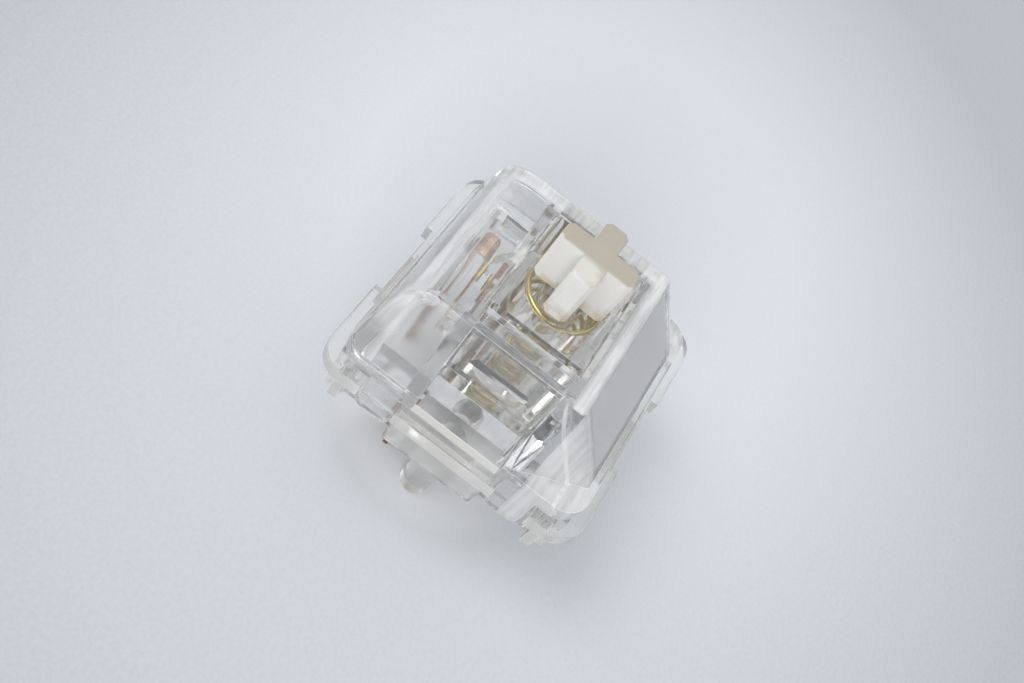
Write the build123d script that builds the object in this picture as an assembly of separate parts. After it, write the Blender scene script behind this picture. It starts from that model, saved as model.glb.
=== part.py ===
from build123d import *
import os

os.makedirs("parts", exist_ok=True)

# A plate-mounted keyboard switch, in millimetres.
# z = 0 is the underside of the flange, which rests on the keyboard's plate, and the
# z axis is the axis of the centre post. The contact pins are on the +Y side, the light
# window is on the -Y side and the four latches are on the +X and -X sides.
# Sizes run from the inside out: stem, contacts, walls, and then the outline around them.

# Clearances, each measured on one side
seat_gap = 0.05
skirt_gap = 0.02
running_gap = 0.08
rail_gap = 0.1
pole_gap = 0.1
latch_gap = 0.08
hook_room = 0.25
slot_gap = 0.06
stop_gap = 0.05
cam_gap = 0.08
cutout_gap = 0.4
spring_seat_gap = 0.02
spring_tube_gap = 0.16
spring_pocket_gap = 0.2
contact_seat_gap = 0.02

# Stem
stem_half_x = 3.5
stem_half_y = 2.7
stem_foot = 0.3
stem_rise = 0.3
stem_roof = 0.6
stem_corner = 0.3
stem_edge = 0.12
cross_height = 3.3
cross_blade_x = 4.0
cross_blade_x_thick = 1.31
cross_blade_y = 4.1
cross_blade_y_thick = 1.17
cross_chamfer = 0.25
cross_edge = 0.1
rail_reach = 0.6
rail_width = 3.7
rail_top = 3.0
rail_bevel = 0.5
pole_diameter = 2.4
pole_end = -3.4
pole_chamfer = 0.3
stop_height = 0.9
stop_lip = 0.5
stop_lip_width = 5.0

# Cam legs of the stem, which hold the leaf open
cam_near = 1.6
cam_far = 2.4
cam_foot = 1.2
cam_lead = 0.3
cam_crest = 2.2
cam_back = 3.4

# Return spring
spring_outer = 4.2
wire = 0.24
open_turns = 11.0
closed_turns = 1.25
closed_pitch = 0.26

# Contact set. The two pins stand on the 2.54 mm grid of the circuit board.
sheet = 0.3
sheet_fold = 0.24
sheet_chamfer = 0.3
pin_width = 1.0
pin_chamfer = 0.2
fixed_pin_x = -3.81
fixed_pin_y = 2.54
moving_pin_x = 2.54
fixed_plate_stand_off = 0.48
fixed_plate_margin = 0.4
fixed_plate_drop = 2.6
fixed_bar_height = 0.95
fixed_fold_low = 0.1
fixed_fold_high = 0.85
terminal_left = -0.45
terminal_top = 0.0
terminal_back_gap = 0.37
leaf_sheet = 0.13
leaf_left = -0.45
leaf_right = 1.05
leaf_stand_off = 0.9
leaf_fold = 0.785
leaf_root = -0.6
leaf_bend_drop = 2.0
leaf_arm_half = 2.45
leaf_arm_margin = 0.1
leaf_arm_round = 0.3

# Welded contact points, bars that cross each other
point_drop = 1.0
point_width = 0.5
point_length = 1.1
fixed_point_thick = 0.15
leaf_point_thick = 0.18
point_bevel = 0.06

# Top housing
housing_top = 6.6
housing_wall = 0.9
housing_corner = 1.4
housing_inner_corner = 0.5
housing_overhang = 0.1
housing_edge = 0.3
skirt_top = 1.9
side_slope_inset = 0.7
side_slope_z = 3.1
front_margin = 1.1
front_slope_inset = 0.45
front_slope_z = 2.0
facet_side_y = -3.2
facet_front_inset = 2.2
facet_front_z = 2.5
roof_radius = 2.2
roof_wall_inset = 0.55
recess_wall = 0.75
recess_latch_gap = 0.5
recess_foot = 2.7
pocket_width = 3.7
pocket_low = 4.05
pocket_high = 6.3
pocket_bevel = 0.38
pocket_depth = 0.2

# Latches of the top housing
latch_width = 1.95
latch_thick = 0.65
latch_end = -1.8
latch_root = 0.4
latch_hook_reach = 0.2
latch_hook_height = 0.6
latch_round = 0.5

# Flange and upstands
flange_ledge = 0.8
flange_thick = 0.9
flange_corner = 1.5
flange_edge = 0.12
clip_notch_width = 4.8
clip_notch_depth = 0.4
upstand_top = 1.6

# Body below the flange
board_z = -5.0
floor_thick = 1.0
groove_wall_y = 0.25
centre_wall = 0.95
centre_draft = 0.65
side_wall = 0.45
side_draft = 0.85
body_wall_y = 0.9
body_draft_y = 0.3
body_edge = 0.3
corner_rib_inset = 0.51
corner_rib_thick = 0.56
corner_rib_depth = 2.9
corner_rib_root = 0.4
latch_rib_gap = 0.88

# Clips that grip the plate
plate_thick = 1.5
plate_play = 0.1
clip_width = 3.7
clip_thick = 0.35
clip_finger_top = -0.15
clip_hook_reach = 0.6
clip_hook_height = 0.75
clip_foot_z = -4.2
clip_foot_half = 0.45

# Posts that enter the circuit board
post_diameter = 4.0
peg_diameter = 1.7
peg_spacing = 10.16
post_length = 3.3
post_chamfer = 0.35
peg_chamfer = 0.25
bore_end_wall = 0.7

# Light opening in the floor
light_opening_x = 4.6
light_opening_y = 1.9
light_inset = 0.65

# Guide tube inside the body
guide_tube_top = 0.8

# Places that follow: heights
BIG = 40.0
ROOT = 0.3
floor_top = board_z + floor_thick
post_end = board_z - post_length
bore_floor = post_end + bore_end_wall
stop_z = housing_top - housing_wall - stop_gap
stem_shoulder = housing_top + stem_rise
stem_top = stem_shoulder + cross_height
stem_ceiling = stem_shoulder - stem_roof
spring_top = stem_ceiling - spring_seat_gap
fixed_plate_top = housing_top - fixed_plate_drop
point_z = fixed_plate_top - point_drop
leaf_bend_z = housing_top - leaf_bend_drop

# Places that follow: from the stem out to the back wall, along Y
fixed_plate_y = stem_half_y + fixed_plate_stand_off
leaf_front_y = fixed_plate_y + leaf_stand_off
leaf_rear_y = leaf_front_y + leaf_fold
moving_pin_y = leaf_rear_y + (leaf_sheet + sheet) / 2
cavity_y = moving_pin_y + sheet / 2 + terminal_back_gap
body_y_top = cavity_y + body_wall_y
body_y_foot = body_y_top - body_draft_y

# Places that follow: from the stem out to the side wall, along X
rail_out = stem_half_x + rail_reach
pad_x = rail_out + rail_gap
recess_face_x = pad_x + recess_wall
groove_x = recess_face_x + seat_gap
centre_foot = groove_x + centre_wall
centre_top = centre_foot + centre_draft

# Places that follow: the plate's cut-out and what stands on it
cutout_half = max(centre_top, body_y_top) + cutout_gap
housing_half = cutout_half + housing_overhang
flange_half = cutout_half + flange_ledge
latch_in = housing_half - latch_thick
latch_slot_in = latch_in - latch_gap
side_top = latch_in - latch_hook_reach - hook_room
side_foot = side_top - side_draft
cavity_x = side_foot - side_wall
rib_far = cutout_half - corner_rib_inset
rib_near = rib_far - corner_rib_thick
latch_far = rib_near - latch_rib_gap
latch_near = latch_far - latch_width
recess_half = latch_near - recess_latch_gap
centre_half = latch_near - 2 * latch_gap
groove_half = centre_half - groove_wall_y

# Places that follow: bores and pockets
spring_pocket = spring_outer + 2 * spring_pocket_gap
guide_tube_diameter = spring_outer - 2 * wire - 2 * spring_tube_gap
guide_tube_bore = pole_diameter + 2 * pole_gap


def block(x0, x1, y0, y1, z0, z1):
    """A box between two corners."""
    size = (x1 - x0, y1 - y0, z1 - z0)
    centre = ((x0 + x1) / 2, (y0 + y1) / 2, (z0 + z1) / 2)
    return Pos(*centre) * Box(*size)


def rod(x, y, diameter, z0, z1):
    """An upright cylinder between two heights."""
    return Pos(x, y, (z0 + z1) / 2) * Cylinder(diameter / 2, z1 - z0)


def prism(plane, points, start, end):
    """A polygon drawn on a plane and drawn out along the plane's normal."""
    face = plane.offset(start) * make_face(Polyline(*points, close=True))
    return extrude(face, end - start, dir=plane.z_dir)


def half_space(point, normal):
    """All that lies beyond a plane, on the side of its normal."""
    on_plane = (Align.CENTER, Align.CENTER, Align.MIN)
    return Plane(origin=point, z_dir=normal) * Box(BIG, BIG, BIG, align=on_plane)


def both_sides(shape, plane):
    """A shape and its mirror image."""
    return shape + mirror(shape, about=plane)


def four_corners(shape):
    """A shape and its images at the other three corners."""
    return both_sides(both_sides(shape, Plane.XZ), Plane.YZ)


def rod_with_point(x, y, diameter, z0, z1, point):
    """An upright cylinder with a chamfered lower end."""
    return chamfer(rod(x, y, diameter, z0, z1).faces().sort_by(Axis.Z)[0].edges(), point)


def tapered_block(half_x_top, half_x_foot, half_y_top, half_y_foot):
    """A block from the flange to the floor whose walls lean in towards the floor."""
    top = Rectangle(2 * half_x_top, 2 * half_y_top)
    foot = Plane.XY.offset(board_z) * Rectangle(2 * half_x_foot, 2 * half_y_foot)
    form = loft([foot, top])
    uprights = form.edges().filter_by(lambda edge: abs(edge.tangent_at(0.5).Z) > 0.5)
    return fillet(uprights, body_edge)


# Bottom housing
def make_flange():
    plan = RectangleRounded(2 * flange_half, 2 * flange_half, flange_corner)
    plate = extrude(plan, flange_thick)
    notch_half = clip_notch_width / 2
    notch_in = flange_half - clip_notch_depth
    plate -= both_sides(block(-notch_half, notch_half, notch_in, BIG, -BIG, BIG), Plane.XZ)
    plate = fillet(plate.faces().sort_by(Axis.Z)[-1].edges(), flange_edge)
    slot = block(latch_slot_in, BIG, latch_near - latch_gap, latch_far + latch_gap, -BIG, BIG)
    return plate - four_corners(slot)


def make_clip():
    """A springy finger that stands on the foot of the +Y wall, with a hook for the plate."""
    finger_out = cutout_half
    finger_in = finger_out - clip_thick
    hook_out = finger_out + clip_hook_reach
    hook_top = -plate_thick - plate_play
    hook_face = hook_top - clip_hook_height / 4
    root_y = body_y_foot - ROOT
    points = [
        (root_y, clip_foot_z - clip_foot_half),
        (finger_in, clip_foot_z - clip_foot_half),
        (finger_out, clip_foot_z),
        (finger_out, hook_top - clip_hook_height),
        (hook_out, hook_face),
        (hook_out, hook_top),
        (finger_out, hook_top),
        (finger_out, clip_finger_top),
        (finger_in, clip_finger_top),
        (finger_in, clip_foot_z + clip_foot_half),
        (root_y, clip_foot_z + clip_foot_half),
    ]
    return prism(Plane.YZ, points, -clip_width / 2, clip_width / 2)


def make_corner_ribs():
    """Ribs of the +X, +Y corner, which fill the corner of the plate's cut-out."""
    foot = -corner_rib_depth
    rib_x = block(side_foot, cutout_half, rib_near, rib_far, foot, 0)
    rib_y = block(rib_near, rib_far, body_y_foot - ROOT, cutout_half, foot, 0)
    post = block(side_foot - corner_rib_root, rib_far, cavity_y + corner_rib_root / 2, rib_far, foot, 0)
    return rib_x + rib_y + post


def make_bottom_housing():
    body = tapered_block(centre_top, centre_foot, centre_half, centre_half)
    body += tapered_block(side_top, side_foot, body_y_top, body_y_foot)
    body += make_flange()

    # Ledges that the latches hook under
    ledge_foot = latch_end + latch_hook_height + latch_gap
    ledge = block(side_foot, latch_slot_in, latch_near, latch_far, ledge_foot, flange_thick)
    body += four_corners(ledge)
    body += four_corners(make_corner_ribs())

    # Hollow inside, with grooves for the rails of the stem
    body -= block(-cavity_x, cavity_x, -cavity_y, cavity_y, floor_top, BIG)
    body -= block(-groove_x, groove_x, -groove_half, groove_half, floor_top, BIG)

    # Pads that guide the rails, and upstands that carry the recesses of the top housing
    half = recess_half - seat_gap
    pad = block(pad_x, groove_x + ROOT, -half, half, floor_top - ROOT, upstand_top)
    pad += block(pad_x, recess_face_x, -half, half, 0, recess_foot - seat_gap)
    pad += block(groove_x, housing_half, -half, half, 0, upstand_top)
    body += both_sides(pad, Plane.YZ)

    # Guide tube, centre post and pegs
    body += rod(0, 0, guide_tube_diameter, floor_top, guide_tube_top)
    body += rod_with_point(0, 0, post_diameter, post_end, board_z, post_chamfer)
    for x in (-peg_spacing / 2, peg_spacing / 2):
        body += rod_with_point(x, 0, peg_diameter, post_end, board_z, peg_chamfer)
    body -= rod(0, 0, guide_tube_bore, bore_floor, BIG)

    # Openings in the floor for the light and the two contacts
    light = Box(light_opening_x, light_opening_y, BIG)
    body -= Pos(0, light_inset - cavity_y, floor_top - BIG / 2) * light
    half_pin = pin_width / 2 + slot_gap
    half_sheet = sheet / 2 + slot_gap
    slots = ((fixed_pin_x, fixed_pin_y, fixed_plate_y), (moving_pin_x, moving_pin_y, moving_pin_y))
    for x, near_y, far_y in slots:
        body -= block(x - half_pin, x + half_pin, near_y - half_sheet, far_y + half_sheet, -BIG, floor_top)

    return body + both_sides(make_clip(), Plane.XZ)


# Top housing
def housing_form(inset):
    """The outside form of the top housing, moved inwards by a wall thickness."""
    half = housing_half - inset
    plan = RectangleRounded(2 * half, 2 * half, max(housing_corner - inset, housing_inner_corner))
    foot = flange_thick + skirt_gap
    base = Plane.XY.offset(foot) * plan
    form = extrude(base, housing_top - inset - foot)

    # Rounded roof over the contacts
    centre_y = housing_half - roof_wall_inset - roof_radius
    centre_z = housing_top - roof_radius
    radius = roof_radius - inset
    roof_back = (centre_y + radius, centre_z)
    roof_crown = (centre_y, centre_z + radius)
    outline = Line((-BIG, 0), (half, 0))
    outline += Line((half, 0), (half, flange_thick))
    outline += Line((half, flange_thick), roof_back)
    outline += RadiusArc(roof_back, roof_crown, -radius)
    outline += Line(roof_crown, (-BIG, roof_crown[1]))
    outline += Line((-BIG, roof_crown[1]), (-BIG, 0))
    form &= extrude(Plane.YZ * make_face(outline), half, both=True)

    # Sloping front, sloping sides and the facets between them
    front_y = -stem_half_y - front_margin
    front_slope_y = front_slope_inset - housing_half
    side_slope_x = housing_half - side_slope_inset
    front_edge = Vector(0, front_y, housing_top)
    front_run = Vector(0, front_slope_y, front_slope_z) - front_edge
    cuts = [(front_edge, Vector(0, front_run.Z, -front_run.Y))]
    for side in (-1, 1):
        corner = Vector(side * recess_face_x, front_y, housing_top)
        side_run = Vector(side * side_slope_x, front_y, side_slope_z) - corner
        cuts.append((corner, Vector(-side * side_run.Z, 0, side * side_run.X)))
        to_side = Vector(side * side_slope_x, facet_side_y, side_slope_z) - corner
        front_x = housing_half - facet_front_inset
        to_front = Vector(side * front_x, front_slope_y, facet_front_z) - corner
        cuts.append((corner, to_front.cross(to_side) * side))
    for point, normal in cuts:
        normal = normal.normalized()
        form -= half_space(point - normal * inset, normal)

    # Rounded edges, and the upright skirt that stands on the flange
    form = fillet(form.edges().filter_by(lambda edge: edge.center().Z > side_slope_z), housing_edge)
    return form + extrude(base, skirt_top - inset - foot)


def make_latch():
    """The latch leg of the +X, +Y corner, with its hook and rounded end."""
    leg = block(latch_in, housing_half, latch_near, latch_far, latch_end, flange_thick + latch_root)
    leg = fillet(leg.edges().filter_by(Axis.X).group_by(Axis.Z)[0], latch_round)
    hook_top = latch_end + latch_hook_height
    points = [
        (latch_in + latch_hook_reach, latch_end),
        (latch_in, latch_end),
        (latch_in - latch_hook_reach, hook_top - latch_hook_reach),
        (latch_in - latch_hook_reach, hook_top),
        (latch_in + latch_hook_reach, hook_top),
    ]
    return leg + prism(Plane.XZ, points, -(latch_far - latch_round), -(latch_near + latch_round))


def make_pocket():
    """The pocket in the face of the +X recess, with bevelled sides."""
    middle = (pocket_low + pocket_high) / 2
    height = pocket_high - pocket_low
    mouth = Pos(0, middle) * Rectangle(pocket_width, height)
    end = Pos(0, middle) * Rectangle(pocket_width - 2 * pocket_bevel, height - 2 * pocket_bevel)
    outer_plane = Plane.YZ.offset(recess_face_x)
    return loft([outer_plane.offset(-pocket_depth) * end, outer_plane * mouth])


def make_top_housing():
    recess = block(recess_face_x, BIG, -recess_half, recess_half, -BIG, BIG)
    outer = housing_form(0) - both_sides(recess, Plane.YZ)

    # The walls of the recesses stand inside the hollow
    inner_half = housing_half - housing_wall
    inner = housing_form(housing_wall)
    inner += block(-inner_half, inner_half, -inner_half, inner_half, 0, flange_thick + ROOT)
    wall_half = recess_half + recess_wall
    recess_walls = block(recess_face_x - recess_wall, BIG, -wall_half, wall_half, -BIG, BIG)
    shell = outer - (inner - both_sides(recess_walls, Plane.YZ))

    # Opening for the stem
    opening_x = stem_half_x + running_gap
    opening_y = stem_half_y + running_gap
    shell -= block(-opening_x, opening_x, -opening_y, opening_y, 0, BIG)

    # Foot and pocket of each recess
    shell -= block(-BIG, BIG, -recess_half, recess_half, 0, recess_foot)
    shell -= both_sides(make_pocket(), Plane.YZ)

    return shell + four_corners(make_latch())


# Stem
def make_cam_leg():
    """A leg that reaches past the fixed contact and holds the leaf away from it."""
    crest_y = leaf_front_y - leaf_sheet / 2 - cam_gap
    back_y = stem_half_y + stop_lip
    points = [
        (stem_half_y - ROOT, cam_foot),
        (crest_y - cam_lead, cam_foot),
        (crest_y, cam_foot + cam_lead),
        (crest_y, cam_crest),
        (back_y, cam_back),
        (back_y, stop_z),
        (stem_half_y - ROOT, stop_z),
    ]
    return prism(Plane.YZ, points, cam_near, cam_far)


def make_cross():
    """The cross that takes the keycap."""
    height = cross_height + stem_edge
    cross = Box(cross_blade_x, cross_blade_x_thick, height)
    cross = chamfer(cross.edges().filter_by(Axis.Z), cross_chamfer)
    blade = Box(cross_blade_y_thick, cross_blade_y, height)
    cross += chamfer(blade.edges().filter_by(Axis.Z), cross_chamfer)
    cross = fillet(cross.faces().sort_by(Axis.Z)[-1].edges(), cross_edge)
    return Pos(0, 0, stem_top - height / 2) * cross


def make_stem():
    plan = RectangleRounded(2 * stem_half_x, 2 * stem_half_y, stem_corner)
    body = extrude(Plane.XY.offset(stem_foot) * plan, stem_shoulder - stem_foot)
    body = chamfer(body.faces().sort_by(Axis.Z)[-1].edges(), stem_edge)

    # Rails that run in the grooves of the bottom housing
    points = [
        (0, stem_foot),
        (rail_out, stem_foot),
        (rail_out, rail_top - rail_bevel),
        (rail_out - rail_bevel, rail_top),
        (0, rail_top),
    ]
    body += both_sides(prism(Plane.XZ, points, -rail_width / 2, rail_width / 2), Plane.YZ)

    # Lip and cam legs, which stop under the plateau of the top housing
    half = stop_lip_width / 2
    body += block(-half, half, -stem_half_y - stop_lip, 0, stop_z - stop_height, stop_z)
    body += both_sides(make_cam_leg(), Plane.YZ)

    # Spring pocket and the pole inside it
    body -= rod(0, 0, spring_pocket, 0, stem_ceiling)
    body += rod_with_point(0, 0, pole_diameter, pole_end, stem_shoulder, pole_chamfer)

    return body + make_cross()


# Return spring
def make_spring():
    """A wire wound close at both ends and open between them."""
    radius = (spring_outer - wire) / 2
    z = floor_top + spring_seat_gap + wire / 2
    closed_height = closed_pitch * closed_turns
    open_pitch = (spring_top - wire / 2 - z - 2 * closed_height) / open_turns
    closed = (closed_pitch, closed_turns)
    angle = 0
    edges = []
    for pitch, turns in (closed, (open_pitch, open_turns), closed):
        winding = Pos(0, 0, z) * Rot(0, 0, angle) * Helix(pitch, pitch * turns, radius)
        edges.append(winding.edges()[0])
        z += pitch * turns
        angle += 360 * turns
    path = Wire(edges)
    section = Plane(origin=path @ 0, z_dir=path % 0) * Circle(wire / 2)
    return sweep(section, path=path, is_frenet=True)


# Contacts
def make_fixed_contact():
    """Pin, a jog inside the floor, a bar along the chamber and an upright plate."""
    x = fixed_pin_x
    foot = floor_top + contact_seat_gap
    bar_top = foot + fixed_bar_height
    line = FilletPolyline(
        (x, fixed_pin_y, post_end),
        (x, fixed_pin_y, board_z + fixed_fold_low),
        (x, fixed_plate_y, board_z + fixed_fold_high),
        (x, fixed_plate_y, bar_top),
        radius=sheet_fold,
    )
    section = Plane(origin=line @ 0, x_dir=(1, 0, 0), z_dir=line % 0) * Rectangle(pin_width, sheet)
    contact = sweep(section, path=line)
    near = fixed_plate_y - sheet / 2
    far = fixed_plate_y + sheet / 2
    half = cam_near - fixed_plate_margin
    contact += block(x - pin_width / 2, half, near, far, foot, bar_top)
    plate = block(-half, half, near, far, foot, fixed_plate_top)
    return contact + chamfer(plate.edges().filter_by(Axis.Y).group_by(Axis.Z)[-1], sheet_chamfer)


def make_fixed_point():
    """The upright bar of precious metal on the fixed contact."""
    half = point_width / 2
    y0 = fixed_plate_y + sheet / 2
    z0 = point_z - point_length / 2
    point = block(-half, half, y0, y0 + fixed_point_thick, z0, z0 + point_length)
    return chamfer(point.faces().sort_by(Axis.Y)[-1].edges(), point_bevel)


def make_moving_terminal():
    near = moving_pin_y - sheet / 2
    far = moving_pin_y + sheet / 2
    left = moving_pin_x - pin_width / 2
    right = moving_pin_x + pin_width / 2
    foot = floor_top + contact_seat_gap
    pin = block(left, right, near, far, post_end, foot + ROOT)
    pin = chamfer(pin.edges().filter_by(Axis.Y).group_by(Axis.Z)[0], pin_chamfer)
    plate = block(terminal_left, right, near, far, foot, terminal_top)
    return pin + chamfer(plate.edges().filter_by(Axis.Y).group_by(Axis.Z)[-1], sheet_chamfer)


def make_leaf():
    """A thin strip that rises from the terminal, folds over and comes down with two side arms."""
    foot_z = cam_foot - leaf_arm_margin
    arm_top = cam_crest + leaf_arm_margin
    bend = leaf_fold / 2
    crown = (0, leaf_rear_y - bend, leaf_bend_z + bend)
    line = Line((0, leaf_rear_y, leaf_root), (0, leaf_rear_y, leaf_bend_z))
    line += ThreePointArc((0, leaf_rear_y, leaf_bend_z), crown, (0, leaf_front_y, leaf_bend_z))
    line += Line((0, leaf_front_y, leaf_bend_z), (0, leaf_front_y, foot_z))
    section = Pos(0, leaf_rear_y, leaf_root) * Rectangle(leaf_right - leaf_left, leaf_sheet)
    strip = Pos((leaf_left + leaf_right) / 2, 0, 0) * sweep(section, path=line)
    near = leaf_front_y - leaf_sheet / 2
    arms = block(-leaf_arm_half, leaf_arm_half, near, near + leaf_sheet, foot_z, arm_top)
    return strip + fillet(arms.edges().filter_by(Axis.Y), leaf_arm_round)


def make_leaf_point():
    """The level bar of precious metal on the leaf."""
    x0 = (leaf_left + leaf_right - point_length) / 2
    y1 = leaf_front_y - leaf_sheet / 2
    z0 = point_z - point_width / 2
    point = block(x0, x0 + point_length, y1 - leaf_point_thick, y1, z0, z0 + point_width)
    return chamfer(point.faces().sort_by(Axis.Y)[0].edges(), point_bevel)


pieces = {
    "bottom_housing": make_bottom_housing(),
    "top_housing": make_top_housing(),
    "stem": make_stem(),
    "return_spring": make_spring(),
    "fixed_contact": make_fixed_contact(),
    "fixed_contact_point": make_fixed_point(),
    "moving_terminal": make_moving_terminal(),
    "contact_leaf": make_leaf(),
    "leaf_contact_point": make_leaf_point(),
}

for name, piece in pieces.items():
    export_step(piece, "parts/" + name + ".step")
    print(name, "volume %.2f" % piece.volume)
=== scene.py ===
import math

import bmesh
import bpy
from mathutils import Matrix, Vector


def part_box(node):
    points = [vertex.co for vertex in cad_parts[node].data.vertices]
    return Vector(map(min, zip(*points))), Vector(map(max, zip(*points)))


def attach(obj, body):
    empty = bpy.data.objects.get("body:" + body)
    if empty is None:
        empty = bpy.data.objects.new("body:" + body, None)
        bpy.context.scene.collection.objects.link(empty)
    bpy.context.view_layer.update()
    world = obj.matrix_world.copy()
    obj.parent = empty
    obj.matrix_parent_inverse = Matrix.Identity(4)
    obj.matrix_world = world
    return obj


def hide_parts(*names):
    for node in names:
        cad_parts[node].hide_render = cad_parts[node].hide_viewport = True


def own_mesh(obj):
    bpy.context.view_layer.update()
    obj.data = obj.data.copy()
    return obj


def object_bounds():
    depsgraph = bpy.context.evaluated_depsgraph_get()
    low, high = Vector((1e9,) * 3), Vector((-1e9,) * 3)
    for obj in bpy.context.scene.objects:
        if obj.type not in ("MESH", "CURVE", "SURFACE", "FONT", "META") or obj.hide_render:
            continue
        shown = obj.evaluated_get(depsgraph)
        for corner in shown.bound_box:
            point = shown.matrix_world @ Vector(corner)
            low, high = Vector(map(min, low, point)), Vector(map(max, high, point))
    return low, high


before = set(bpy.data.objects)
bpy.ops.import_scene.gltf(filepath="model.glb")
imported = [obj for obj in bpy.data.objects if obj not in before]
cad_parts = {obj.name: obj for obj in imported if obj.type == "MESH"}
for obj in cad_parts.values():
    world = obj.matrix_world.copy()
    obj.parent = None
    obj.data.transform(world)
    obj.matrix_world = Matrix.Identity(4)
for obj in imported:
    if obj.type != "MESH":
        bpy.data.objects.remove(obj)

MM = 0.001
cad_box = [list(corner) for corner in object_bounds()]

# Camera of the photograph, fitted to the flange, the stem and the pins
EYE = Vector((-35.835, 2.770, 48.968)) * MM
CAMERA_RIGHT = Vector((0.47379, -0.79010, 0.38893))
CAMERA_UP = Vector((0.64815, 0.61184, 0.45337))
FOCAL_SHARE = 1155.46 / 1024

# Heights of the switch, in metres
FLOOR_Z = cad_box[0][2] - 0.01 * MM
SPRING_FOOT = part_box("return_spring")[0][2]
SPRING_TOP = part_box("return_spring")[1][2]

# Places of the frosted faces, in millimetres
CROSS_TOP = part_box("stem")[1][2] / MM
CROSS_HEIGHT = 3.3
CROSS_FOOT = CROSS_TOP - CROSS_HEIGHT
HOUSING_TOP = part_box("top_housing")[1][2] / MM
HOUSING_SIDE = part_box("top_housing")[1][0] / MM
HOUSING_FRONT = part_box("top_housing")[0][1] / MM
FLANGE_TOP = 0.9
FLANGE_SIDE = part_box("bottom_housing")[1][0] / MM
BOARD_TOP = -5.0
LOW_SIDE_TOP = -1.0
LOW_SIDE_FAR = 6.0

# Colours and strengths of the frosted faces
CROSS_SIDE = (0.90, 0.885, 0.85)
# The darker cream of the cross's tops is painted shade, with a painted warm tint of the gold spring beneath
# them.
CROSS_TOP_PAINTED_SHADE = (0.475, 0.428, 0.354)
# The gold at the feet of the cross is a painted reflection of the gold spring.
CROSS_PAINTED_GOLD_REFLECTION = (0.60, 0.47, 0.26)
WINDOW_PALE = (0.90, 0.905, 0.91)
# The greyer colour towards the window's +X end is painted shade.
WINDOW_PAINTED_SHADE = (0.87, 0.875, 0.885)
BOARD_FROST = 0.15
LOW_SIDE_FROST = 0.55
FLANGE_RIM_FROST = 0.6
FLANGE_RIM_DEPTH = 0.6
ROOF_END_FROST = 0.36
ROOF_END_Y = 3.4

# The light window: its slope runs from the plateau down to the front
WINDOW_TOP = Vector((0, -3.8, HOUSING_TOP))
WINDOW_FOOT = Vector((0, HOUSING_FRONT + 0.45, 2.0))
WINDOW_HALF = 4.35
WINDOW_RIM = 0.35
DASH_ROW = 0.515
DASH_STEP = 0.445
DASH_SHIFT = 0.27
DASH_LONG = 0.25
DASH_WIDE = 0.11
DASH_START = 1.2

# Hazy strips of the top housing, painted milky white: partly haze and partly painted highlight, and on the
# +X rim a painted reflection of the lamp
HAZE_MILK = 0.6
PLUS_X_RIM_PAINTED_REFLECTION = 0.8
BACK_HAZE = 0.6
END_HAZE = 0.7
RIM_X = 4.1
RIM_Y = -3.4
BACK_Y = 5.6

# The sloping sides of the top housing, from the plateau down
SIDE_TOP = Vector((4.95, 0, HOUSING_TOP))
SIDE_FOOT = Vector((HOUSING_SIDE - 0.7, 0, 3.1))

# Sharp edges are painted milky white: a painted highlight
EDGE_WIDTH = 0.07
EDGE_HIGHLIGHT_MILK = 0.8
PAINTED_HIGHLIGHT_WHITE = (0.99, 0.99, 0.99)

# The studio: colours, strengths, and sizes in millimetres
WORLD_COLOUR = (0.965, 0.98, 1.0)
WORLD_LIGHT = 0.70
WORLD_SEEN = 1.0
CARD_CORE = 4.5
CARD_RIM = 9.0
CARD_BEHIND = 6
CARD_DARK = (0.02, 0.025, 0.045)
# The floor is painted paler around a middle point and darker outwards: a painted pool of light.
FLOOR_PAINTED_POOL_NEAR = (0.668, 0.685, 0.722)
FLOOR_PAINTED_FALLOFF_FAR = (0.452, 0.464, 0.494)
# The floor just under the switch is painted paler: painted light in its shadow.
FLOOR_PAINTED_LIGHT_UNDER = (0.97, 0.98, 1.0)
FLOOR_SPECK = (0.99, 0.99, 0.99)
FLOOR_POOL_MIDDLE_X = 17.5
SENSOR = 36.0

# The return spring, in millimetres
SPRING_OUTER = 4.2
SPRING_WIRE = 0.24
SPRING_CLOSED_TURNS = 1.25
SPRING_OPEN_TURNS = 11.0
SPRING_CLOSED_PITCH = 0.26
POINTS_AROUND = 16
POINTS_ALONG = 40


def nodes_of(material):
    material.use_nodes = True
    tree = material.node_tree
    tree.nodes.clear()
    output = tree.nodes.new("ShaderNodeOutputMaterial")
    return tree, output


def add(tree, kind, **values):
    """A new node. A value goes to the input of that name, or to the node's own property."""
    node = tree.nodes.new(kind)
    for name, value in values.items():
        title = name.replace("_", " ")
        if title in node.inputs:
            node.inputs[title].default_value = value
        else:
            setattr(node, name, value)
    return node


def link(tree, source, target):
    tree.links.new(source, target)


def math_node(tree, operation, first, second=None):
    node = tree.nodes.new("ShaderNodeMath")
    node.operation = operation
    for socket, value in zip(node.inputs, (first, second)):
        if value is None:
            continue
        if isinstance(value, (int, float)):
            socket.default_value = value
        else:
            link(tree, value, socket)
    return node.outputs[0]


def ramp(tree, value, low, high, bottom=0.0, top=1.0):
    """A clamped straight ramp between two values."""
    node = tree.nodes.new("ShaderNodeMapRange")
    link(tree, value, node.inputs["Value"])
    node.inputs["From Min"].default_value = low
    node.inputs["From Max"].default_value = high
    node.inputs["To Min"].default_value = bottom
    node.inputs["To Max"].default_value = top
    return node.outputs[0]


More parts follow.
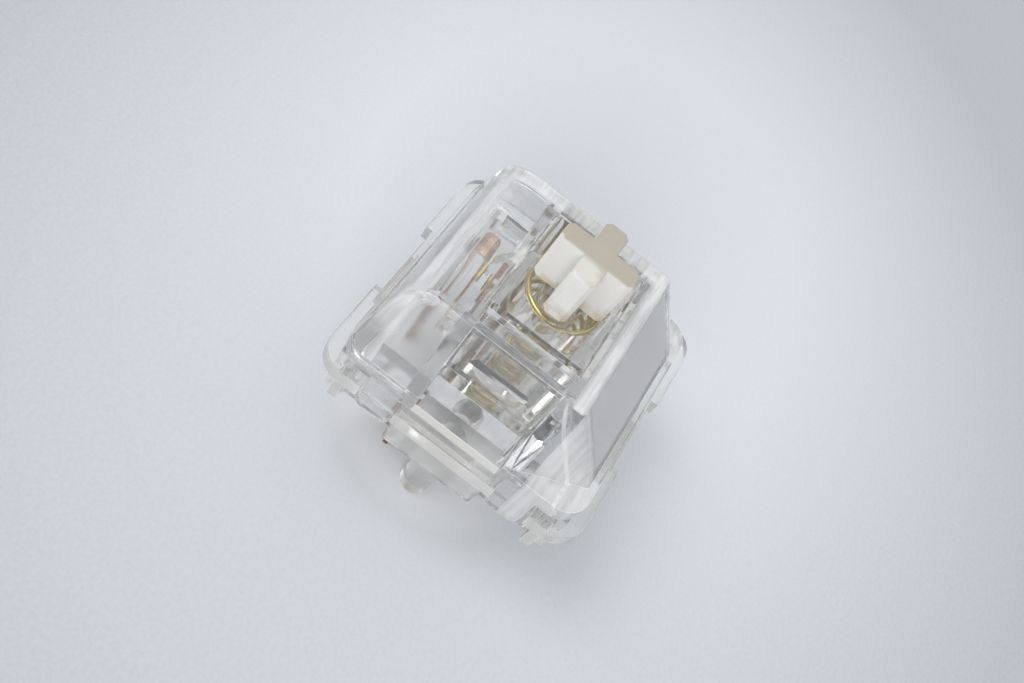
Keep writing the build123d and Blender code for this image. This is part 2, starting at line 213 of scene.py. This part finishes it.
def position(tree):
    """The place on the part in millimetres, as x, y and z sockets and as one vector."""
    place = tree.nodes.new("ShaderNodeTexCoord").outputs["Object"]
    scaled = tree.nodes.new("ShaderNodeVectorMath")
    scaled.operation = "SCALE"
    link(tree, place, scaled.inputs[0])
    scaled.inputs["Scale"].default_value = 1 / MM
    parts = tree.nodes.new("ShaderNodeSeparateXYZ")
    link(tree, scaled.outputs[0], parts.inputs[0])
    return parts.outputs[0], parts.outputs[1], parts.outputs[2], scaled.outputs[0]


def noise(tree, vector, scale, detail=3.0, roughness=0.5):
    node = add(tree, "ShaderNodeTexNoise", Scale=scale, Detail=detail, Roughness=roughness)
    link(tree, vector, node.inputs["Vector"])
    return node.outputs[0]


def bump(tree, height, strength, distance):
    node = add(tree, "ShaderNodeBump", Strength=strength, Distance=distance)
    link(tree, height, node.inputs["Height"])
    return node.outputs["Normal"]


def edges(tree):
    """1 along sharp edges and 0 on the faces between them."""
    rounded = add(tree, "ShaderNodeBevel", Radius=EDGE_WIDTH * MM, samples=4)
    dot = tree.nodes.new("ShaderNodeVectorMath")
    dot.operation = "DOT_PRODUCT"
    link(tree, rounded.outputs[0], dot.inputs[0])
    link(tree, tree.nodes.new("ShaderNodeNewGeometry").outputs["True Normal"], dot.inputs[1])
    return ramp(tree, dot.outputs["Value"], 0.80, 0.97, 1.0, 0.0)


def mix_colour(tree, factor, first, second):
    node = tree.nodes.new("ShaderNodeMix")
    node.data_type = "RGBA"
    link(tree, factor, node.inputs["Factor"])
    for socket, value in ((node.inputs["A"], first), (node.inputs["B"], second)):
        if isinstance(value, tuple):
            socket.default_value = (*value, 1.0)
        else:
            link(tree, value, socket)
    return node.outputs["Result"]


def absolute(tree, value):
    return math_node(tree, "ABSOLUTE", value)


def largest(tree, *values):
    """The largest of several values."""
    result = values[0]
    for value in values[1:]:
        result = math_node(tree, "MAXIMUM", result, value)
    return result


def flat_distance(tree, x, y):
    """How far a place is from where both coordinates are 0."""
    squares = math_node(tree, "ADD", product(tree, x, x), product(tree, y, y))
    return math_node(tree, "SQRT", squares)


def product(tree, *factors):
    """The product of several masks."""
    result = factors[0]
    for factor in factors[1:]:
        result = math_node(tree, "MULTIPLY", result, factor)
    return result


def band(tree, value, low, high, soft=0.03):
    """1 between two values and 0 outside them, with soft edges."""
    above = ramp(tree, value, low - soft, low + soft)
    below = ramp(tree, value, high - soft, high + soft, 1.0, 0.0)
    return math_node(tree, "MULTIPLY", above, below)


def clear_plastic(name, tint, milk, frosted, frost, frost_milk, frost_tint, dashes=None, hazy=None,
                  painted_edge_highlights=True):
    """Polished clear polycarbonate.

    frosted gives the faces that are matt and milky, dashes the clearer strokes in them, and hazy the strips
    that are milky but smooth and painted white, partly haze and partly painted highlight. frost_tint is a
    colour, or a function that makes one. The sharp edges can be painted milky white as a painted highlight.
    """
    material = bpy.data.materials.new(name)
    tree, output = nodes_of(material)
    x, y, z, place = position(tree)
    shader = add(tree, "ShaderNodeBsdfPrincipled", IOR=1.585)
    cloud = ramp(tree, noise(tree, place, 0.35, 2.0), 0.35, 0.65)
    colour = mix_colour(tree, cloud, tint, tuple(min(1.0, c * 1.02) for c in tint))
    rough = ramp(tree, noise(tree, place, 1.4, 5.0, 0.6), 0.45, 0.8, 0.012, 0.06)
    height = noise(tree, place, 0.9, 2.0)
    mask = frosted(tree, x, y, z)
    grain = noise(tree, place, 12.0, 3.0, 0.7)
    matt = ramp(tree, grain, 0.3, 0.7, frost * 0.92, frost * 1.08)
    height = math_node(tree, "ADD", height, product(tree, mask, ramp(tree, grain, 0.0, 1.0, 0.0, 0.04)))
    rough = math_node(tree, "ADD", product(tree, mask, matt),
                      product(tree, ramp(tree, mask, 0.0, 1.0, 1.0, 0.0), rough))
    if callable(frost_tint):
        frost_tint = frost_tint(tree, x, z, place)
    if dashes:
        mask = product(tree, mask, ramp(tree, dashes(tree, x, y, z), 0.0, 1.0, 1.0, 0.0))
    colour = mix_colour(tree, mask, colour, frost_tint)
    clear = ramp(tree, mask, 0.0, 1.0, 1.0 - milk, 1.0 - frost_milk)
    # The hazy strips are painted milky white: partly haze and partly painted highlight.
    if hazy:
        haze = hazy(tree, x, y, z)
        clear = product(tree, clear, ramp(tree, haze, 0.0, 1.0, 1.0, 1.0 - HAZE_MILK))
        colour = mix_colour(tree, haze, colour, PAINTED_HIGHLIGHT_WHITE)
    # Sharp edges are painted milky white: a painted highlight.
    if painted_edge_highlights:
        edge = edges(tree)
        clear = product(tree, clear, ramp(tree, edge, 0.0, 1.0, 1.0, 1.0 - EDGE_HIGHLIGHT_MILK))
        colour = mix_colour(tree, edge, colour, PAINTED_HIGHLIGHT_WHITE)
    link(tree, clear, shader.inputs["Transmission Weight"])
    link(tree, colour, shader.inputs["Base Color"])
    link(tree, rough, shader.inputs["Roughness"])
    link(tree, bump(tree, height, 0.25, 0.02 * MM), shader.inputs["Normal"])
    link(tree, shader.outputs[0], output.inputs["Surface"])
    return material


def metal(name, dark, light, roughness, grain):
    """Rolled or drawn metal, with tarnish in clouds and a fine grain along its run."""
    material = bpy.data.materials.new(name)
    tree, output = nodes_of(material)
    place = position(tree)[3]
    stretched = add(tree, "ShaderNodeMapping")
    link(tree, place, stretched.inputs["Vector"])
    stretched.inputs["Scale"].default_value = grain
    lines = noise(tree, stretched.outputs[0], 6.0, 4.0, 0.6)
    cloud = noise(tree, place, 1.2, 3.0)
    shader = add(tree, "ShaderNodeBsdfPrincipled", Metallic=1.0)
    tone = math_node(tree, "ADD", ramp(tree, cloud, 0.35, 0.65, 0.0, 0.6),
                     ramp(tree, lines, 0.35, 0.65, 0.0, 0.4))
    link(tree, mix_colour(tree, tone, dark, light), shader.inputs["Base Color"])
    link(tree, ramp(tree, lines, 0.3, 0.7, roughness * 0.7, roughness * 1.4), shader.inputs["Roughness"])
    link(tree, bump(tree, lines, 0.3, 0.01 * MM), shader.inputs["Normal"])
    link(tree, shader.outputs[0], output.inputs["Surface"])
    return material


def below_plateau(tree, y):
    """1 on the window side of the plateau's front edge."""
    return ramp(tree, y, -4.0, -3.9, 1.0, 0.0)


def top_haze_and_painted_highlight(tree, x, y, z):
    """Hazy strips of the top housing, milky and painted white: the plateau's front and +X rims, the back
    and the window's ends. The +X rim is a painted reflection of the lamp; the others are partly haze and
    partly painted highlight.
    """
    stretched = add(tree, "ShaderNodeCombineXYZ")
    link(tree, math_node(tree, "MULTIPLY", x, 0.5), stretched.inputs[0])
    link(tree, math_node(tree, "MULTIPLY", y, 4.0), stretched.inputs[1])
    streaks = ramp(tree, noise(tree, stretched.outputs[0], 0.8, 3.0, 0.6), 0.3, 0.6, 0.6, 1.0)
    front = product(tree, ramp(tree, y, RIM_Y, RIM_Y + 0.3, 1.0, 0.0),
                    ramp(tree, y, RIM_Y - 0.7, RIM_Y - 0.5))
    # The +X rim is painted milky white, a painted reflection of the lamp.
    rims = largest(tree, front, ramp(tree, x, RIM_X - 0.2, RIM_X, 0.0, PLUS_X_RIM_PAINTED_REFLECTION))
    plateau = product(tree, rims, band(tree, z, HOUSING_TOP - 0.25, HOUSING_TOP + 0.15))
    back = product(tree, ramp(tree, y, BACK_Y - 0.7, BACK_Y, 0.0, BACK_HAZE), ramp(tree, z, 3.2, 4.2))
    ends = product(tree, ramp(tree, absolute(tree, x), 4.4, 4.6, 0.0, END_HAZE), below_plateau(tree, y))
    return product(tree, largest(tree, plateau, back, ends), streaks)


def cross_mask(tree, x, y, z):
    """The keycap cross is frosted down to the shoulder."""
    return ramp(tree, z, CROSS_FOOT, CROSS_FOOT + 0.05)


def window_tint_with_painted_shade(tree, x, z, place):
    """The frosted window is grey, painted darker towards its +X end as painted shade."""
    return mix_colour(tree, ramp(tree, x, -3.0, 2.5), WINDOW_PALE, WINDOW_PAINTED_SHADE)


def cross_painted_shade_and_reflection(tree, x, z, place):
    """Darker cream on the tops of the cross, painted shade with a painted warm tint of the gold spring
    beneath, paler on the -X arm and on the sides, and gold at their feet, a painted reflection of the
    spring.
    """
    cloud = ramp(tree, noise(tree, place, 0.8, 2.0), 0.45, 0.6)
    # Gold painted low on the sides: a painted reflection of the spring.
    foot = ramp(tree, z, CROSS_FOOT + 0.1, CROSS_FOOT + 1.1, 0.7, 0.0)
    sides = mix_colour(tree, product(tree, cloud, foot), CROSS_SIDE, CROSS_PAINTED_GOLD_REFLECTION)
    near_arm = product(tree, ramp(tree, x, -0.9, -0.5, 0.6, 0.0), ramp(tree, cloud, 0.0, 1.0, 1.0, 0.5))
    # The tops are painted darker than the sides: painted shade.
    tops = mix_colour(tree, near_arm, CROSS_TOP_PAINTED_SHADE, CROSS_SIDE)
    return mix_colour(tree, ramp(tree, z, CROSS_TOP - 0.1, CROSS_TOP - 0.03), sides, tops)


def base_mask(tree, x, y, z):
    """The outer faces of the upstands, and in part the flange's rim, lower sides, post and pegs."""
    outer = ramp(tree, absolute(tree, x), HOUSING_SIDE - 0.03, HOUSING_SIDE - 0.01)
    upstand = product(tree, outer, ramp(tree, z, FLANGE_TOP + 0.02, FLANGE_TOP + 0.05))
    board = ramp(tree, z, BOARD_TOP - 0.1, BOARD_TOP, BOARD_FROST, 0.0)
    far = largest(tree, absolute(tree, x), absolute(tree, y))
    low_side = product(tree, ramp(tree, far, LOW_SIDE_FAR - 0.1, LOW_SIDE_FAR, 0.0, LOW_SIDE_FROST),
                       ramp(tree, z, LOW_SIDE_TOP - 0.2, LOW_SIDE_TOP, 1.0, 0.0))
    normal = tree.nodes.new("ShaderNodeSeparateXYZ")
    link(tree, tree.nodes.new("ShaderNodeNewGeometry").outputs["True Normal"], normal.inputs[0])
    upright = ramp(tree, absolute(tree, normal.outputs[2]), 0.5, 0.8, 1.0, 0.0)
    rim_in = FLANGE_SIDE - FLANGE_RIM_DEPTH
    rim = product(tree, upright, ramp(tree, far, rim_in - 0.05, rim_in),
                  ramp(tree, z, -0.05, 0.0, 0.0, FLANGE_RIM_FROST))
    return largest(tree, upstand, board, low_side, rim)


def down_window(tree, y, z):
    """How far a place is down the slope of the window, and how far out of it."""
    slope = (WINDOW_FOOT - WINDOW_TOP).normalized()
    out = Vector((0, slope.z, -slope.y))
    down = math_node(tree, "ADD", math_node(tree, "MULTIPLY", y, slope.y),
                     math_node(tree, "MULTIPLY", z, slope.z))
    away = math_node(tree, "ADD", math_node(tree, "MULTIPLY", y, out.y),
                     math_node(tree, "MULTIPLY", z, out.z))
    return (math_node(tree, "SUBTRACT", down, slope.dot(WINDOW_TOP)),
            math_node(tree, "SUBTRACT", away, out.dot(WINDOW_TOP)))


def top_mask(tree, x, y, z):
    """The window's outer and inner faces, the skirt's foot at the contacts and the roof's ends."""
    down, away = down_window(tree, y, z)
    length = (WINDOW_FOOT - WINDOW_TOP).length
    across = band(tree, x, -WINDOW_HALF, WINDOW_HALF)
    along = band(tree, down, WINDOW_RIM, length - WINDOW_RIM)
    window = product(tree, across, along, ramp(tree, away, -0.1, -0.05))
    low = ramp(tree, z, FLANGE_TOP + 0.03, FLANGE_TOP + 0.06, 1.0, 0.0)
    foot = product(tree, low, ramp(tree, z, FLANGE_TOP - 0.1, FLANGE_TOP - 0.05), ramp(tree, y, 0.0, 0.5),
                   ramp(tree, x, -3.5, -3.0, 1.0, 0.0))
    inner = product(tree, band(tree, away, -1.0, -0.8), ramp(tree, y, -3.0, -2.9, 1.0, 0.0),
                    ramp(tree, z, FLANGE_TOP, FLANGE_TOP + 0.1))
    run = (SIDE_FOOT - SIDE_TOP).normalized()
    side = math_node(tree, "SUBTRACT", absolute(tree, x), SIDE_TOP.x)
    drop = math_node(tree, "SUBTRACT", HOUSING_TOP, z)
    off_side = math_node(tree, "SUBTRACT", math_node(tree, "MULTIPLY", side, -run.z),
                         math_node(tree, "MULTIPLY", drop, run.x))
    end = product(tree, ramp(tree, off_side, -0.1, -0.05),
                  ramp(tree, y, ROOF_END_Y - 0.4, ROOF_END_Y, 0.0, ROOF_END_FROST))
    return largest(tree, window, inner, foot, end)


def window_dashes(tree, x, y, z):
    """Short clearer dashes in staggered rows, on the lower half of the window."""
    down = down_window(tree, y, z)[0]
    place = math_node(tree, "DIVIDE", down, DASH_ROW)
    row = math_node(tree, "FLOOR", place)
    shifted = math_node(tree, "SUBTRACT", x, math_node(tree, "MULTIPLY", row, DASH_SHIFT))
    in_row = math_node(tree, "FRACT", place)
    in_step = math_node(tree, "FRACT", math_node(tree, "DIVIDE", shifted, DASH_STEP))
    half_long = DASH_LONG / DASH_ROW / 2
    half_wide = DASH_WIDE / DASH_STEP / 2
    dash = product(tree, band(tree, in_row, 0.5 - half_long, 0.5 + half_long, 0.06),
                   band(tree, in_step, 0.5 - half_wide, 0.5 + half_wide, 0.06))
    fade = ramp(tree, x, -2.0, 2.0, 1.0, 0.1)
    return product(tree, dash, ramp(tree, down, DASH_START, DASH_START + 0.1), fade, below_plateau(tree, y))


MATERIALS = {
    "bottom_housing": clear_plastic(
        "clear_base", tint=(0.985, 0.983, 0.972), milk=0.06, frosted=base_mask, frost=0.40,
        frost_milk=0.65, frost_tint=(0.97, 0.955, 0.915)),
    "top_housing": clear_plastic(
        "clear_top", tint=(0.980, 0.982, 0.982), milk=0.045, frosted=top_mask, frost=0.35,
        frost_milk=0.38, frost_tint=window_tint_with_painted_shade, dashes=window_dashes, hazy=top_haze_and_painted_highlight),
    "stem": clear_plastic(
        "clear_stem", tint=(0.975, 0.960, 0.925), milk=0.05, frosted=cross_mask, frost=0.25,
        frost_milk=0.9, frost_tint=cross_painted_shade_and_reflection, painted_edge_highlights=False),
    "fixed_contact": metal(
        "contact_sheet", (0.26, 0.15, 0.10), (0.46, 0.28, 0.19), roughness=0.30, grain=(1, 1, 6)),
    "moving_terminal": metal(
        "terminal_sheet", (0.24, 0.14, 0.09), (0.42, 0.25, 0.17), roughness=0.32, grain=(1, 1, 6)),
    "contact_leaf": metal(
        "copper_leaf", (0.42, 0.27, 0.19), (0.95, 0.74, 0.59), roughness=0.14, grain=(8, 1, 1)),
    "fixed_contact_point": metal(
        "contact_gold", (0.75, 0.60, 0.28), (0.90, 0.76, 0.40), roughness=0.2, grain=(1, 1, 1)),
    "leaf_contact_point": metal(
        "leaf_gold", (0.75, 0.60, 0.28), (0.90, 0.76, 0.40), roughness=0.2, grain=(1, 1, 1)),
}
GOLD_WIRE = metal("gold_wire", (0.55, 0.45, 0.15), (0.80, 0.68, 0.32), roughness=0.06, grain=(1, 1, 1))

for name, material in MATERIALS.items():
    node = bpy.data.objects[name]
    node.data.materials.clear()
    node.data.materials.append(material)


def make_spring():
    """The return spring as a round wire, close-wound at both ends."""
    half_wire = SPRING_WIRE / 2
    radius = (SPRING_OUTER - SPRING_WIRE) / 2
    foot = SPRING_FOOT / MM + half_wire
    closed = SPRING_CLOSED_PITCH * SPRING_CLOSED_TURNS
    open_height = SPRING_TOP / MM - half_wire - foot - 2 * closed
    turns = SPRING_OPEN_TURNS + 2 * SPRING_CLOSED_TURNS
    count = int(turns * POINTS_ALONG)
    rings = []
    mesh = bmesh.new()
    for i in range(count + 1):
        turn = turns * i / count
        into_open = min(max(turn - SPRING_CLOSED_TURNS, 0.0), SPRING_OPEN_TURNS)
        into_closed = turn - into_open
        z = foot + into_closed * SPRING_CLOSED_PITCH + into_open * open_height / SPRING_OPEN_TURNS
        angle = 2 * math.pi * turn
        outward = Vector((math.cos(angle), math.sin(angle), 0))
        ring = []
        for k in range(POINTS_AROUND):
            a = 2 * math.pi * k / POINTS_AROUND
            up = Vector((0, 0, z + half_wire * math.sin(a)))
            ring.append(mesh.verts.new((outward * (radius + half_wire * math.cos(a)) + up) * MM))
        rings.append(ring)
    for first, second in zip(rings, rings[1:]):
        for k in range(POINTS_AROUND):
            following = (k + 1) % POINTS_AROUND
            mesh.faces.new((first[k], second[k], second[following], first[following]))
    mesh.faces.new(rings[0])
    mesh.faces.new(list(reversed(rings[-1])))
    bmesh.ops.recalc_face_normals(mesh, faces=mesh.faces)
    data = bpy.data.meshes.new("wound_spring")
    mesh.to_mesh(data)
    mesh.free()
    for face in data.polygons:
        face.use_smooth = True
    spring = bpy.data.objects.new("wound_spring", data)
    bpy.context.scene.collection.objects.link(spring)
    data.materials.append(GOLD_WIRE)
    return spring


spring = make_spring()
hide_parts("return_spring")
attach(spring, "housing")
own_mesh(spring)


# Floor, world and lamps
def floor_material():
    material = bpy.data.materials.new("floor")
    tree, output = nodes_of(material)
    x, y, _, place = position(tree)
    shader = add(tree, "ShaderNodeBsdfPrincipled", Roughness=0.6)
    distance = flat_distance(tree, math_node(tree, "SUBTRACT", x, FLOOR_POOL_MIDDLE_X),
                             math_node(tree, "MULTIPLY", y, 1.3))
    # Painted pool of light: paler around a middle point, darker outwards.
    colour = mix_colour(tree, ramp(tree, distance, 20.0, 50.0), FLOOR_PAINTED_POOL_NEAR, FLOOR_PAINTED_FALLOFF_FAR)
    grain = noise(tree, place, 4.0, 3.0, 0.7)
    # Painted light in the switch's shadow: the floor just under it is paler.
    painted_light_under = ramp(tree, flat_distance(tree, x, y), 5.0, 7.5, 0.7, 0.0)
    colour = mix_colour(tree, painted_light_under, colour, FLOOR_PAINTED_LIGHT_UNDER)
    speckle = ramp(tree, grain, 0.35, 0.65, 0.0, 0.08)
    link(tree, mix_colour(tree, speckle, colour, FLOOR_SPECK), shader.inputs["Base Color"])
    link(tree, bump(tree, grain, 0.1, 0.03 * MM), shader.inputs["Normal"])
    link(tree, shader.outputs[0], output.inputs["Surface"])
    return material


def make_plane(name, size, location, rotation, material):
    mesh = bmesh.new()
    half = size / 2
    corners = [(-half, -half, 0), (half, -half, 0), (half, half, 0), (-half, half, 0)]
    mesh.faces.new([mesh.verts.new(corner) for corner in corners])
    data = bpy.data.meshes.new(name)
    mesh.to_mesh(data)
    mesh.free()
    plane = bpy.data.objects.new(name, data)
    plane.location = location
    plane.rotation_mode = "QUATERNION"
    plane.rotation_quaternion = rotation
    data.materials.append(material)
    bpy.context.scene.collection.objects.link(plane)
    return plane


make_plane("floor", size=1.2, location=(0, 0, FLOOR_Z), rotation=(1, 0, 0, 0), material=floor_material())

camera_back = CAMERA_RIGHT.cross(CAMERA_UP).normalized()


def card_material():
    """Dark in the middle, like a lens, and as pale as the world at its rim."""
    material = bpy.data.materials.new("dark_card")
    tree, output = nodes_of(material)
    x, y = position(tree)[:2]
    distance = flat_distance(tree, x, y)
    shader = tree.nodes.new("ShaderNodeEmission")
    pale = tuple(channel * WORLD_SEEN for channel in WORLD_COLOUR)
    colour = mix_colour(tree, ramp(tree, distance, CARD_CORE, CARD_RIM), CARD_DARK, pale)
    link(tree, colour, shader.inputs["Color"])
    link(tree, shader.outputs[0], output.inputs["Surface"])
    return material


card = make_plane("dark_card", 2 * CARD_RIM * MM, EYE + camera_back * CARD_BEHIND * MM,
                  camera_back.to_track_quat("Z", "Y"), card_material())
card.visible_camera = False
card.visible_diffuse = False
card.visible_shadow = False

# The world lights the scene at a plain level and is white behind clear plastic and metal
world = bpy.data.worlds.new("world")
bpy.context.scene.world = world
world.use_nodes = True
tree = world.node_tree
background = tree.nodes["Background"]
background.inputs["Color"].default_value = (*WORLD_COLOUR, 1.0)
path = tree.nodes.new("ShaderNodeLightPath")
seen = path.outputs["Is Camera Ray"]
for ray in ("Is Glossy Ray", "Is Transmission Ray"):
    seen = math_node(tree, "MAXIMUM", seen, path.outputs[ray])
link(tree, ramp(tree, seen, 0.0, 1.0, WORLD_LIGHT, WORLD_SEEN), background.inputs["Strength"])


def softbox(name, azimuth, elevation, distance, size, power):
    """A square lamp that looks at the switch from a compass direction and a height, in degrees."""
    a = math.radians(azimuth)
    e = math.radians(elevation)
    direction = Vector((math.cos(a) * math.cos(e), math.sin(a) * math.cos(e), math.sin(e)))
    data = bpy.data.lights.new(name, "AREA")
    data.size = size
    data.energy = power
    lamp = bpy.data.objects.new(name, data)
    lamp.location = direction * distance
    lamp.rotation_mode = "QUATERNION"
    lamp.rotation_quaternion = direction.to_track_quat("Z", "Y")
    bpy.context.scene.collection.objects.link(lamp)
    return lamp


softbox("key", azimuth=110, elevation=60, distance=0.5, size=0.25, power=0.8)
fill = softbox("fill", azimuth=185, elevation=30, distance=0.5, size=0.25, power=0.85)
fill.visible_glossy = False
fill.visible_transmission = False

lens = bpy.data.cameras.new("camera")
lens.sensor_width = SENSOR
lens.lens = FOCAL_SHARE * SENSOR
lens.clip_start = 1 * MM
lens.clip_end = 10.0
camera = bpy.data.objects.new("camera", lens)
rotation = Matrix((CAMERA_RIGHT, CAMERA_UP, camera_back)).transposed()
camera.matrix_world = Matrix.Translation(EYE) @ rotation.to_4x4()
bpy.context.scene.collection.objects.link(camera)
bpy.context.scene.camera = camera

scene = bpy.context.scene
scene.view_settings.view_transform = "Standard"
scene.cycles.max_bounces = 32
scene.cycles.transmission_bounces = 32
scene.cycles.glossy_bounces = 12
scene.cycles.diffuse_bounces = 3
scene.cycles.transparent_max_bounces = 16
scene.cycles.use_denoising = True
